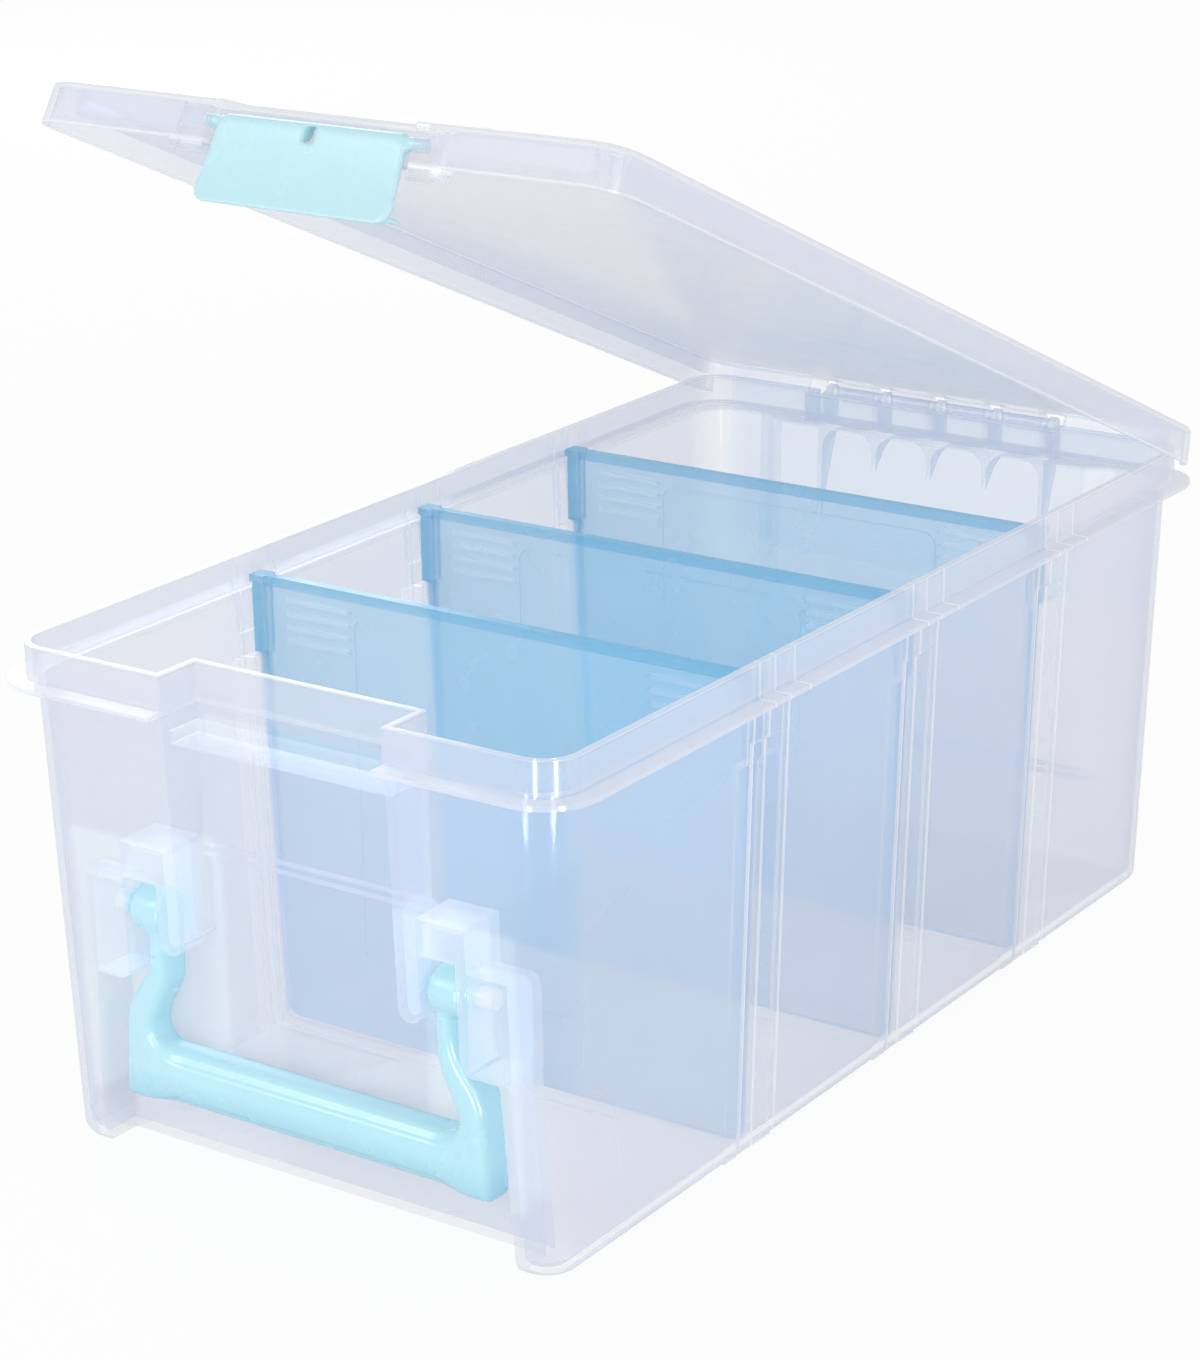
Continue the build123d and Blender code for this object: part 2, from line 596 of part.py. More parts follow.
with BuildPart() as level_latch:
    # Bowed plate, cut to its flared outline
    with BuildSketch(Plane.YZ):
        with BuildLine():
            top = (LATCH_PIVOT_Y - LATCH_BARREL, LATCH_PIVOT_Z)
            foot = (LATCH_FOOT_Y, LATCH_FOOT_Z)
            mid = ((top[0] + foot[0]) / 2 + LATCH_BOW, (top[1] + foot[1]) / 2)
            front = ThreePointArc(top, mid, foot)
            back = ThreePointArc(
                (top[0] + LATCH_THICK, top[1]),
                (mid[0] + LATCH_THICK, mid[1]),
                (foot[0] + LATCH_THICK, foot[1]),
            )
            Line(front @ 0, back @ 0)
            Line(front @ 1, back @ 1)
        make_face()
    extrude(amount=LATCH_FOOT_HALF + 1, both=True)
    with BuildSketch(Plane.XZ.offset(-LATCH_FOOT_Y)) as outline:
        Polygon(
            (-LATCH_FOOT_HALF, LATCH_FOOT_Z),
            (LATCH_FOOT_HALF, LATCH_FOOT_Z),
            (LATCH_TOP_HALF, LATCH_PIVOT_Z),
            (-LATCH_TOP_HALF, LATCH_PIVOT_Z),
            align=None,
        )
        fillet(outline.vertices().sort_by(Axis.Y)[:2], LATCH_CORNER)
    extrude(amount=BAY_REACH, both=True, mode=Mode.INTERSECT)

    # Barrel along the top, with the slot through it and the plate
    for radius, half in ((LATCH_BARREL, LATCH_BARREL_HALF), (LATCH_PIN, LATCH_PIN_END)):
        with BuildSketch(Plane.YZ):
            with Locations((LATCH_PIVOT_Y, LATCH_PIVOT_Z)):
                Circle(radius)
        extrude(amount=half, both=True)
    with BuildSketch(Plane.XZ.offset(-LATCH_FOOT_Y)):
        with Locations((0, LATCH_SLOT_Z)):
            Rectangle(*LATCH_SLOT)
    extrude(amount=-BAY_REACH, mode=Mode.SUBTRACT)

    # Hook lip behind the lower edge
    lip_root = LATCH_FOOT_Y + LATCH_THICK / 2
    with BuildSketch(Plane.YZ):
        Polygon(
            (lip_root, LIP_TOP_Z),
            (LIP_TIP_Y, LIP_TOP_Z),
            (LIP_TIP_Y, LIP_TOP_Z - 1),
            (lip_root, LIP_FOOT_Z),
            align=None,
        )
    extrude(amount=LIP_HALF, both=True)

with BuildPart() as latch:
    add(level_latch.part.moved(LID_REST))

latch.part.label = "latch"
export_step(latch.part, "parts/latch.step")

with BuildPart() as handle:
    # Grip and arms with their jog, seen from the front
    with BuildSketch(Plane.XZ.offset(-ARM_BACK)) as outline:
        Polygon(
            (0, GRIP_FOOT_Z),
            (LOWER_ARM_OUTER, GRIP_FOOT_Z),
            (LOWER_ARM_OUTER - 2, JOG_FOOT_Z),
            (UPPER_ARM_OUTER, JOG_TOP_Z),
            (UPPER_ARM_OUTER, PIVOT_Z),
            (UPPER_ARM_INNER, PIVOT_Z),
            (UPPER_ARM_INNER, JOG_TOP_Z - 4),
            (LOWER_ARM_INNER, JOG_FOOT_Z - 5),
            (LOWER_ARM_INNER, GRIP_TOP_Z),
            (0, GRIP_TOP_Z),
            align=None,
        )
        jog = [v for v in outline.vertices() if JOG_FOOT_Z - 1 < v.Y < JOG_TOP_Z + 1]
        fillet(jog, JOG_ROUND)
        elbow = [v for v in outline.vertices() if abs(v.X - LOWER_ARM_INNER) < 0.1 and v.Y > GRIP_FOOT_Z]
        fillet(elbow, ELBOW_ROUND)
        mirror(about=Plane.YZ)
    extrude(amount=ARM_BACK - ARM_FRONT)
    fillet(handle.faces().sort_by(Axis.Y)[0].edges(), GRIP_ROUND)
    chamfer(handle.faces().sort_by(Axis.Y)[-1].edges(), GRIP_EDGE)

    # Barrels and pins
    for side in (-1, 1):
        for radius, start, end in (
            (BARREL_RADIUS, BARREL_INNER, BARREL_OUTER),
            (HANDLE_PIN, BARREL_OUTER - 1, HANDLE_PIN_END),
        ):
            with BuildSketch(Plane.YZ.offset(side * (start + end) / 2)):
                with Locations((PIVOT_Y, PIVOT_Z)):
                    Circle(radius)
            extrude(amount=(end - start) / 2, both=True)

    # Hollow back of the grip, crossed by ribs
    with BuildSketch(Plane.XZ.offset(-ARM_BACK)):
        rib_pitch = 2 * LOWER_ARM_INNER / GRIP_POCKETS
        with Locations((0, (GRIP_TOP_Z + GRIP_FOOT_Z) / 2)):
            with GridLocations(rib_pitch, 0, GRIP_POCKETS, 1):
                Rectangle(rib_pitch - GRIP_WALL, GRIP_HEIGHT / 2)
    extrude(amount=ARM_BACK - ARM_FRONT - 1.5 * GRIP_WALL, mode=Mode.SUBTRACT)

handle.part.label = "handle"
export_step(handle.part, "parts/handle.step")

with BuildPart() as level_divider:
    # Plate that follows the draft of the side walls down in its slots
    slot_half = FOOT_HALF_X - WALL - SLOT_PROUD - DIVIDER_GAP
    foot_half = slot_half + DIVIDER_FOOT_Z * SLOPE
    shoulder_half = slot_half + GUIDE_TOP_Z * SLOPE
    with BuildSketch(Plane.XZ) as outline:
        Polygon(
            (-foot_half, DIVIDER_FOOT_Z),
            (foot_half, DIVIDER_FOOT_Z),
            (shoulder_half, GUIDE_TOP_Z),
            (shoulder_half, DIVIDER_TOP_Z - RAIL_HEIGHT / 2),
            (-shoulder_half, DIVIDER_TOP_Z - RAIL_HEIGHT / 2),
            (-shoulder_half, GUIDE_TOP_Z),
            align=None,
        )
        fillet(outline.vertices().sort_by(Axis.Y)[:2], DIVIDER_CORNER)
    extrude(amount=PLATE_HALF_THICK, both=True)
    with BuildSketch(Plane.XZ.offset(PLATE_HALF_THICK)):
        with Locations((0, PANEL_TOP_Z)):
            RectangleRounded(
                2 * (shoulder_half - PANEL_SIDE),
                PANEL_TOP_Z - PANEL_FOOT_Z,
                PANEL_RADIUS,
                align=(Align.CENTER, Align.MAX),
            )
    extrude(amount=-PANEL_DEPTH, mode=Mode.SUBTRACT)

    # Top rail
    with BuildSketch(Plane.YZ):
        with Locations((0, DIVIDER_TOP_Z)):
            Rectangle(2 * RAIL_HALF_THICK, RAIL_HEIGHT, align=(Align.CENTER, Align.MAX))
    extrude(amount=shoulder_half - BEAD_WIDTH / 2, both=True)

    # Side beads that stand on the guides, with a cap on top
    for side in (-1, 1):
        bead_x = side * (FOOT_HALF_X - WALL + GUIDE_TOP_Z * SLOPE - BEAD_WIDTH / 2 - BEAD_GAP)
        for width, half_thick, foot_z, top_z in (
            (BEAD_WIDTH, BEAD_HALF_THICK, BEAD_FOOT_Z, DIVIDER_TOP_Z),
            (CAP_WIDTH, CAP_HALF_THICK, DIVIDER_TOP_Z - CAP_HEIGHT, DIVIDER_TOP_Z),
        ):
            with BuildSketch(Plane.XY.offset(foot_z)):
                with Locations((bead_x, 0)):
                    Rectangle(width, 2 * half_thick)
            extrude(amount=top_z - foot_z)

    # Short tapered ticks beside the panel
    for tick in range(TICKS):
        tick_z = TICK_TOP_Z - tick * TICK_PITCH
        tick_x = shoulder_half - TICK_SIDE
        for side in (-1, 1):
            with BuildSketch(Plane.XZ.offset(PLATE_HALF_THICK)):
                Polygon(
                    (side * (tick_x - TICK_LENGTH), tick_z - TICK_HEIGHT / 6),
                    (side * tick_x, tick_z - TICK_HEIGHT / 2),
                    (side * tick_x, tick_z + TICK_HEIGHT / 2),
                    (side * (tick_x - TICK_LENGTH), tick_z + TICK_HEIGHT / 6),
                    align=None,
                )
            extrude(amount=TICK_PROUD)

with BuildPart() as divider_front:
    add(level_divider.part.moved(Location((0, DIVIDER_Y["divider_front"], 0))))

divider_front.part.label = "divider_front"
export_step(divider_front.part, "parts/divider_front.step")

with BuildPart() as divider_middle:
    add(level_divider.part.moved(Location((0, DIVIDER_Y["divider_middle"], 0))))

divider_middle.part.label = "divider_middle"
export_step(divider_middle.part, "parts/divider_middle.step")

with BuildPart() as divider_rear:
    add(level_divider.part.moved(Location((0, DIVIDER_Y["divider_rear"], 0))))

divider_rear.part.label = "divider_rear"
export_step(divider_rear.part, "parts/divider_rear.step")
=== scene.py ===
"""Looks, light and camera for the clear storage satchel.

Metres. X is the width, Y the length with the latch end at -Y, Z is up.
"""

import logging
import math
from dataclasses import dataclass, field
from enum import Enum
from typing import Any

import bmesh
import bpy
from mathutils import Matrix, Vector


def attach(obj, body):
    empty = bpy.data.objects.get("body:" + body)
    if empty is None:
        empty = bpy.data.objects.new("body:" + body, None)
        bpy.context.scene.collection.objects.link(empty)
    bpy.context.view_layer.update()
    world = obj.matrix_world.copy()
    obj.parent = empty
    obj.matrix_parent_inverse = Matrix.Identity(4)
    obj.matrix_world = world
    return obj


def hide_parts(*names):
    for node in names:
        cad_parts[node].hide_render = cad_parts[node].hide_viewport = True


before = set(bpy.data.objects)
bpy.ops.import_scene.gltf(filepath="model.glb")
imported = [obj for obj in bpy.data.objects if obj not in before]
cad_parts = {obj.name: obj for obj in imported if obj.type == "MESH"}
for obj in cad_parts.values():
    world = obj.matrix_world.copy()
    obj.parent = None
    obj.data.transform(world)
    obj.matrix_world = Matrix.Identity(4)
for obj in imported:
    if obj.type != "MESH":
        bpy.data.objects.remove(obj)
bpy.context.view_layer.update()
log = logging.getLogger("satchel")

Colour = tuple[float, float, float, float]

WHITE: Colour = (1.0, 1.0, 1.0, 1.0)
SURROUNDINGS: Colour = (0.88, 0.92, 0.98, 1.0)
LAST_CLEAR_LAYER = 6.5
PLASTIC_IOR = 1.49


class Grain(Enum):
    """How the moulded skin of a piece is textured."""

    POLISHED = (26.0, 0.0001, 0.05)
    SATIN = (420.0, 0.00004, 0.08)

    def __init__(self, wave_scale: float, wave_height: float, spread: float) -> None:
        """Keep the sizes of the texture.

        Args:
            wave_scale: Waves per metre.
            wave_height: Height of the waves in metres.
            spread: How far the roughness strays from its middle.
        """
        self.wave_scale = wave_scale
        self.wave_height = wave_height
        self.spread = spread


@dataclass(frozen=True)
class Line:
    """Thick or bright line on a moulding: where it lies on one axis, in metres. On the clear shell
    a bright line is partly painted highlight.
    """

    axis: int
    centre: float
    half: float
    soft: float = 0.0006
    weight: float = 1.0


@dataclass(frozen=True)
class Zone:
    """Block of a moulding, mirrored in X, where it looks different, in metres."""

    low: tuple[float, float, float]
    high: tuple[float, float, float]
    soft: float = 0.002
    share: float = 1.0
    tint: Colour = (0.77, 0.84, 0.90, 1.0)
    # Emission strength: painted light that makes the block glow, though it is no lamp.
    glow: float = 0.0


@dataclass(frozen=True)
class ClearShellFinish:
    """Milky see-through polypropylene of the tub and the lid."""

    tint: Colour = (0.67, 0.70, 0.81, 1.0)
    edge_tint: Colour = (0.80, 0.82, 0.92, 1.0)
    # Near-white colour of the lines: milkier thick plastic, and partly a painted highlight along
    # edges and ribs.
    line_tint: Colour = (0.97, 0.98, 1.0, 1.0)
    milk: float = 0.15
    edge_milk: float = 0.45
    line_milk: float = 0.42
    shadow_share: float = 0.15
    last_glow: float = 0.32
    rim_blend: float = 0.36
    cloud_scale: float = 9.0
    cloud_spread: float = 0.1
    roughness: float = 0.12
    gloss: float = 0.5
    grain: Grain = Grain.POLISHED

    def material(
        self,
        name: str,
        lines: tuple[Line, ...],
        tilt: float = 0.0,
        pivot: Vector | None = None,
        zones: tuple[Zone, ...] = (),
    ) -> bpy.types.Material:
        """Build the material.

        Args:
            name: Name of the new material.
            lines: Edges and ribs where the moulding is thicker and milkier, painted whiter as
                well: partly a painted highlight along them.
            tilt: Turn of the piece about X in radians, which the lines follow.
            pivot: Point of the piece that lies at the level frame's origin.
            zones: Blocks where folded walls overlap, each with its own tint and share of plastic;
                a block's glow is painted light, a glow in place of the light that the many layers
                hold back.

        Returns:
            The material, whose share of plastic grows towards grazing view angles.
        """
        mat, tree, shader = new_material(name)
        shader.inputs["IOR"].default_value = PLASTIC_IOR
        shader.inputs["Specular IOR Level"].default_value = self.gloss
        rim = tree.nodes.new("ShaderNodeLayerWeight")
        rim.inputs["Blend"].default_value = self.rim_blend
        cloud = noise(tree, scale=self.cloud_scale, detail=2.0)
        less, more = self.milk * (1.0 - self.cloud_spread), self.milk * (1.0 + self.cloud_spread)
        body = map_range(tree, cloud, 0.35, 0.65, less, more)
        edge = map_range(tree, rim.outputs["Facing"], 0.0, 1.0, 0.0, self.edge_milk)
        marks = line_mask(tree, lines, tilt, pivot)
        rib = map_range(tree, marks, 0.0, 1.0, 0.0, self.line_milk)
        alpha = combine(tree, "ADD", combine(tree, "ADD", body, edge), rib)
        plain = colour_mix(tree, rim.outputs["Facing"], self.tint, self.edge_tint)
        glow: bpy.types.NodeSocket | None = None
        # Painted light where a zone glows: it glows a little and takes a paler tint, where the
        # many clear layers would leave it in shade.
        for zone in zones:
            inside = zone_mask(tree, zone)
            share = map_range(tree, inside, 0.0, 1.0, 1.0, zone.share)
            alpha = combine(tree, "MULTIPLY", alpha, share)
            plain = colour_mix(tree, inside, plain, zone.tint)
            lit = map_range(tree, inside, 0.0, 1.0, 0.0, zone.glow)
            glow = lit if glow is None else combine(tree, "MAXIMUM", glow, lit)
        alpha = last_layer(tree, shader, alpha, self.last_glow, glow)
        tree.links.new(lighter_in_shadow(tree, alpha, self.shadow_share), shader.inputs["Alpha"])
        # Painted highlight in part: the lines are tinted near-white as well as milkier.
        tree.links.new(colour_mix(tree, marks, plain, self.line_tint), shader.inputs["Base Color"])
        skin(tree, shader, self.roughness, self.grain)
        return mat


@dataclass(frozen=True)
class TintedSheetFinish:
    """See-through blue plastic of the dividers."""

    tint: Colour = (0.45, 0.73, 0.90, 1.0)
    edge_tint: Colour = (0.17, 0.54, 0.82, 1.0)
    line_tint: Colour = (0.14, 0.52, 0.78, 1.0)
    # Paler colour of the ticks: a painted highlight.
    tick_highlight_tint: Colour = (0.80, 0.92, 1.0, 1.0)
    body: float = 0.28
    edge_body: float = 0.42
    line_body: float = 0.24
    shadow_share: float = 0.5
    last_glow: float = 0.35
    rim_blend: float = 0.4
    cloud_scale: float = 14.0
    cloud_spread: float = 0.03
    roughness: float = 0.22
    gloss: float = 0.45
    grain: Grain = Grain.SATIN

    def material(
        self, name: str, lines: tuple[Line, ...], ticks: tuple[Zone, ...]
    ) -> bpy.types.Material:
        """Build the material.

        Args:
            name: Name of the new material.
            lines: Rails and beads, where the thicker plastic is deeper in colour.
            ticks: Raised marks, painted paler as a painted highlight where they catch the light.

        Returns:
            The material, deeper in colour towards grazing view angles.
        """
        mat, tree, shader = new_material(name)
        shader.inputs["IOR"].default_value = PLASTIC_IOR
        shader.inputs["Specular IOR Level"].default_value = self.gloss
        rim = tree.nodes.new("ShaderNodeLayerWeight")
        rim.inputs["Blend"].default_value = self.rim_blend
        cloud = noise(tree, scale=self.cloud_scale, detail=1.0)
        less, more = self.body * (1.0 - self.cloud_spread), self.body * (1.0 + self.cloud_spread)
        body = map_range(tree, cloud, 0.35, 0.65, less, more)
        edge = map_range(tree, rim.outputs["Facing"], 0.0, 1.0, 0.0, self.edge_body)
        marks = line_mask(tree, lines, 0.0, None)
        rib = map_range(tree, marks, 0.0, 1.0, 0.0, self.line_body)
        alpha = combine(tree, "ADD", combine(tree, "ADD", body, edge), rib)
        alpha = last_layer(tree, shader, alpha, self.last_glow, None)
        tree.links.new(lighter_in_shadow(tree, alpha, self.shadow_share), shader.inputs["Alpha"])
        plain = colour_mix(tree, rim.outputs["Facing"], self.tint, self.edge_tint)
        # Painted highlight: the raised ticks are tinted paler.
        for tick in ticks:
            mark = map_range(tree, zone_mask(tree, tick), 0.0, 1.0, 0.0, tick.share)
            plain = colour_mix(tree, mark, plain, self.tick_highlight_tint)
        tree.links.new(colour_mix(tree, marks, plain, self.line_tint), shader.inputs["Base Color"])
        skin(tree, shader, self.roughness, self.grain)
        return mat


@dataclass(frozen=True)
class SolidPlasticFinish:
    """Coloured plastic that only glows a little from inside."""

    light: Colour = (0.50, 0.87, 0.93, 1.0)
    deep: Colour = (0.40, 0.80, 0.89, 1.0)
    pins: Zone | None = None
    # Painted shade: height below which the colour darkens, how far down it deepens, how strongly,
    # and the shade colour.
    painted_shade_top: float | None = None
    painted_shade_depth: float = 0.012
    painted_shade_share: float = 0.8
    painted_shade_colour: Colour = (0.34, 0.66, 0.80, 1.0)
    glow_depth: float = 0.004
    glow_radius: tuple[float, float, float] = (0.6, 1.0, 1.0)
    glow: float = 0.25
    cloud_scale: float = 9.0
    roughness: float = 0.25
    gloss: float = 0.5
    grain: Grain = Grain.SATIN

    def material(self, name: str) -> bpy.types.Material:
        """Build the material.

        Args:
            name: Name of the new material.

        Returns:
            The material, with a soft cloudiness of its colour and, where a shade height is given,
            painted shade that darkens it below that height.
        """
        mat, tree, shader = new_material(name)
        shader.inputs["IOR"].default_value = PLASTIC_IOR
        shader.inputs["Specular IOR Level"].default_value = self.gloss
        shader.inputs["Subsurface Weight"].default_value = self.glow
        shader.inputs["Subsurface Scale"].default_value = self.glow_depth
        shader.inputs["Subsurface Radius"].default_value = self.glow_radius
        cloud = noise(tree, scale=self.cloud_scale, detail=1.0)
        spread = map_range(tree, cloud, 0.3, 0.7, 0.0, 1.0)
        plain = colour_mix(tree, spread, self.light, self.deep)
        # Painted shade: the colour darkens below the given height, on the underside where less
        # light falls.
        if self.painted_shade_top is not None:
            foot = self.painted_shade_top - self.painted_shade_depth
            height = place_axes(tree).outputs[2]
            below = map_range(tree, height, self.painted_shade_top, foot, 0.0, self.painted_shade_share)
            plain = colour_mix(tree, below, plain, self.painted_shade_colour)
        if self.pins is not None:
            plain = colour_mix(tree, zone_mask(tree, self.pins), plain, self.pins.tint)
        tree.links.new(plain, shader.inputs["Base Color"])
        skin(tree, shader, self.roughness, self.grain)
        return mat


def new_material(name: str) -> tuple[bpy.types.Material, bpy.types.NodeTree, bpy.types.Node]:
    """Start a node material.

    Args:
        name: Name of the new material.

    Returns:
        The material, its node tree and its Principled shader.
    """
    mat = bpy.data.materials.new(name)
    mat.use_nodes = True
    tree = mat.node_tree
    return mat, tree, tree.nodes["Principled BSDF"]


def noise(tree: bpy.types.NodeTree, scale: float, detail: float) -> bpy.types.NodeSocket:
    """Add a noise pattern on Object coordinates and return its factor.

    Args:
        tree: Node tree that gets the pattern.
        scale: Pattern repeats per metre.
        detail: Number of finer octaves.

    Returns:
        The factor output.
    """
    place = tree.nodes.new("ShaderNodeTexCoord")
    pattern = tree.nodes.new("ShaderNodeTexNoise")
    pattern.inputs["Scale"].default_value = scale
    pattern.inputs["Detail"].default_value = detail
    tree.links.new(place.outputs["Object"], pattern.inputs["Vector"])
    return pattern.outputs["Fac"]


def map_range(
    tree: bpy.types.NodeTree,
    source: bpy.types.NodeSocket,
    low: float,
    high: float,
    out_low: float,
    out_high: float,
) -> bpy.types.NodeSocket:
    """Stretch a factor to a new range.

    Args:
        tree: Node tree that gets the node.
        source: Factor to read.
        low: Factor that gives out_low.
        high: Factor that gives out_high.
        out_low: Lower result.
        out_high: Upper result.

    Returns:
        The result output.
    """
    node = tree.nodes.new("ShaderNodeMapRange")
    node.inputs["From Min"].default_value = low
    node.inputs["From Max"].default_value = high
    node.inputs["To Min"].default_value = out_low
    node.inputs["To Max"].default_value = out_high
    tree.links.new(source, node.inputs["Value"])
    return node.outputs["Result"]


def colour_mix(
    tree: bpy.types.NodeTree,
    factor: bpy.types.NodeSocket,
    first: Colour | bpy.types.NodeSocket,
    second: Colour,
) -> bpy.types.NodeSocket:
    """Blend two colours.

    Args:
        tree: Node tree that gets the node.
        factor: Share of the second colour.
        first: Colour, or an output that gives it, at factor 0.
        second: Colour at factor 1.

    Returns:
        The blended colour.
    """
    mix = tree.nodes.new("ShaderNodeMix")
    mix.data_type = "RGBA"
    if isinstance(first, tuple):
        mix.inputs[6].default_value = first
    else:
        tree.links.new(first, mix.inputs[6])
    mix.inputs[7].default_value = second
    tree.links.new(factor, mix.inputs[0])
    return mix.outputs[2]


def combine(
    tree: bpy.types.NodeTree,
    operation: str,
    first: bpy.types.NodeSocket,
    second: bpy.types.NodeSocket | float,
) -> bpy.types.NodeSocket:
    """Work out one clamped step of arithmetic.

    Args:
        tree: Node tree that gets the node.
        operation: Name of the Math node's operation.
        first: First operand.
        second: Second operand, an output or a number.

    Returns:
        The result, from 0 to 1.
    """
    node = tree.nodes.new("ShaderNodeMath")
    node.operation = operation
    node.use_clamp = True
    tree.links.new(first, node.inputs[0])
    if isinstance(second, float):
        node.inputs[1].default_value = second
    else:
        tree.links.new(second, node.inputs[1])
    return node.outputs[0]


def line_mask(
    tree: bpy.types.NodeTree, lines: tuple[Line, ...], tilt: float, pivot: Vector | None
) -> bpy.types.NodeSocket:
    """Mark the lines of a moulding.

    Args:
        tree: Node tree that gets the nodes.
        lines: Lines to mark.
        tilt: Turn of the piece about X in radians.
        pivot: Point of the piece that lies at the level frame's origin.

    Returns:
        Output that is each line's weight on it and 0 away from them all.
    """
    place = tree.nodes.new("ShaderNodeTexCoord").outputs["Object"]
    if pivot is not None:
        level = tree.nodes.new("ShaderNodeMapping")
        level.vector_type = "TEXTURE"
        level.inputs["Location"].default_value = pivot
        level.inputs["Rotation"].default_value = (tilt, 0.0, 0.0)
        tree.links.new(place, level.inputs["Vector"])
        place = level.outputs["Vector"]
    axes = tree.nodes.new("ShaderNodeSeparateXYZ")
    tree.links.new(place, axes.inputs[0])
    total: bpy.types.NodeSocket | None = None
    for line in lines:
        away = tree.nodes.new("ShaderNodeMath")
        away.operation = "SUBTRACT"
        tree.links.new(axes.outputs[line.axis], away.inputs[0])
        away.inputs[1].default_value = line.centre
        size = tree.nodes.new("ShaderNodeMath")
        size.operation = "ABSOLUTE"
        tree.links.new(away.outputs[0], size.inputs[0])
        far = line.half + line.soft
        mark = map_range(tree, size.outputs[0], line.half, far, line.weight, 0.0)
        total = mark if total is None else combine(tree, "MAXIMUM", total, mark)
    return total


def place_axes(tree: bpy.types.NodeTree) -> bpy.types.Node:
    """Add nodes that part Object coordinates into X, Y and Z.

    Args:
        tree: Node tree that gets the nodes.

    Returns:
        The node with the three outputs.
    """
    axes = tree.nodes.new("ShaderNodeSeparateXYZ")
    place = tree.nodes.new("ShaderNodeTexCoord")
    tree.links.new(place.outputs["Object"], axes.inputs[0])
    return axes


def zone_mask(tree: bpy.types.NodeTree, zone: Zone) -> bpy.types.NodeSocket:
    """Mark a block of a piece and its mirror image in X.

    Args:
        tree: Node tree that gets the nodes.
        zone: Block to mark.

    Returns:
        Output that is 1 inside the block and 0 outside it.
    """
    axes = place_axes(tree)
    mirrored = tree.nodes.new("ShaderNodeMath")
    mirrored.operation = "ABSOLUTE"
    tree.links.new(axes.outputs[0], mirrored.inputs[0])
    sides = (mirrored.outputs[0], axes.outputs[1], axes.outputs[2])
    total: bpy.types.NodeSocket | None = None
    for side, low, high in zip(sides, zone.low, zone.high):
        above = map_range(tree, side, low - zone.soft, low, 0.0, 1.0)
        below = map_range(tree, side, high, high + zone.soft, 1.0, 0.0)
        within = combine(tree, "MULTIPLY", above, below)
        total = within if total is None else combine(tree, "MULTIPLY", total, within)
    return total


def last_layer(
    tree: bpy.types.NodeTree,
    shader: bpy.types.Node,
    alpha: bpy.types.NodeSocket,
    last_glow: float,
    glow: bpy.types.NodeSocket | None,
) -> bpy.types.NodeSocket:
    """Let the pale surroundings show behind more clear layers than a ray can cross.

    Args:
        tree: Node tree that gets the nodes.
        shader: Shader whose glow stands for the light from behind.
        alpha: Share of plastic that is seen.
        last_glow: Strength of the glow on a ray's last layer.
        glow: Strength of the zones' painted glow, on every layer, or None.

    Returns:
        The share of plastic, which is all of it on a ray's last layer.
    """
    path = tree.nodes.new("ShaderNodeLightPath")
    last = tree.nodes.new("ShaderNodeMath")
    last.operation = "GREATER_THAN"
    last.inputs[1].default_value = LAST_CLEAR_LAYER
    tree.links.new(path.outputs["Transparent Depth"], last.inputs[0])
    lit = map_range(tree, path.outputs["Is Shadow Ray"], 0.0, 1.0, 1.0, 0.0)
    seen = combine(tree, "MULTIPLY", last.outputs[0], lit)
    strength = map_range(tree, seen, 0.0, 1.0, 0.0, last_glow)
    if glow is not None:
        strength = combine(tree, "MAXIMUM", strength, glow)
    shader.inputs["Emission Color"].default_value = SURROUNDINGS
    tree.links.new(strength, shader.inputs["Emission Strength"])
    return combine(tree, "MAXIMUM", alpha, seen)


def lighter_in_shadow(
    tree: bpy.types.NodeTree, alpha: bpy.types.NodeSocket, share: float
) -> bpy.types.NodeSocket:
    """Let clear plastic pass on most of the light that it scatters.

    Args:
        tree: Node tree that gets the nodes.
        alpha: Share of plastic that is seen.
        share: Part of it that also holds back lamp light.

    Returns:
        The share of plastic for each kind of ray.
    """
    path = tree.nodes.new("ShaderNodeLightPath")
    factor = map_range(tree, path.outputs["Is Shadow Ray"], 0.0, 1.0, 1.0, share)
    return combine(tree, "MULTIPLY", alpha, factor)


def skin(
    tree: bpy.types.NodeTree, shader: bpy.types.Node, roughness: float, grain: Grain
) -> None:
    """Give a shader the uneven gloss and the fine flow waves of a moulded surface.

    Args:
        tree: Node tree of the material.
        shader: Shader that gets the skin.
        roughness: Middle roughness.
        grain: Texture of the mould.
    """
    scuff = noise(tree, scale=60.0, detail=4.0)
    least, most = roughness - grain.spread, roughness + grain.spread
    rough = map_range(tree, scuff, 0.3, 0.7, least, most)
    tree.links.new(rough, shader.inputs["Roughness"])
    waves = noise(tree, scale=grain.wave_scale, detail=2.0)
    bump = tree.nodes.new("ShaderNodeBump")
    bump.inputs["Strength"].default_value = 0.25
    bump.inputs["Distance"].default_value = grain.wave_height
    tree.links.new(waves, bump.inputs["Height"])
    tree.links.new(bump.outputs["Normal"], shader.inputs["Normal"])


def camera_or_glass_ray(tree: bpy.types.NodeTree) -> bpy.types.NodeSocket:
    """Tell rays that come straight or through clear plastic from the camera.

    Args:
        tree: Node tree that gets the nodes.

    Returns:
        Output that is 1 for those rays and 0 for all others.
    """
    path = tree.nodes.new("ShaderNodeLightPath")
    seen = tree.nodes.new("ShaderNodeMath")
    seen.operation = "MAXIMUM"
    tree.links.new(path.outputs["Is Camera Ray"], seen.inputs[0])
    tree.links.new(path.outputs["Is Transmission Ray"], seen.inputs[1])
    return seen.outputs[0]


def dress(node: str, mat: bpy.types.Material) -> None:
    """Give a CAD node its finish.

    Args:
        node: Name of the CAD node.
        mat: Finish of the node.
    """
    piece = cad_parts[node]
    piece.data.materials.clear()
    piece.data.materials.append(mat)
    log.info("%s dressed in %s", node, mat.name)


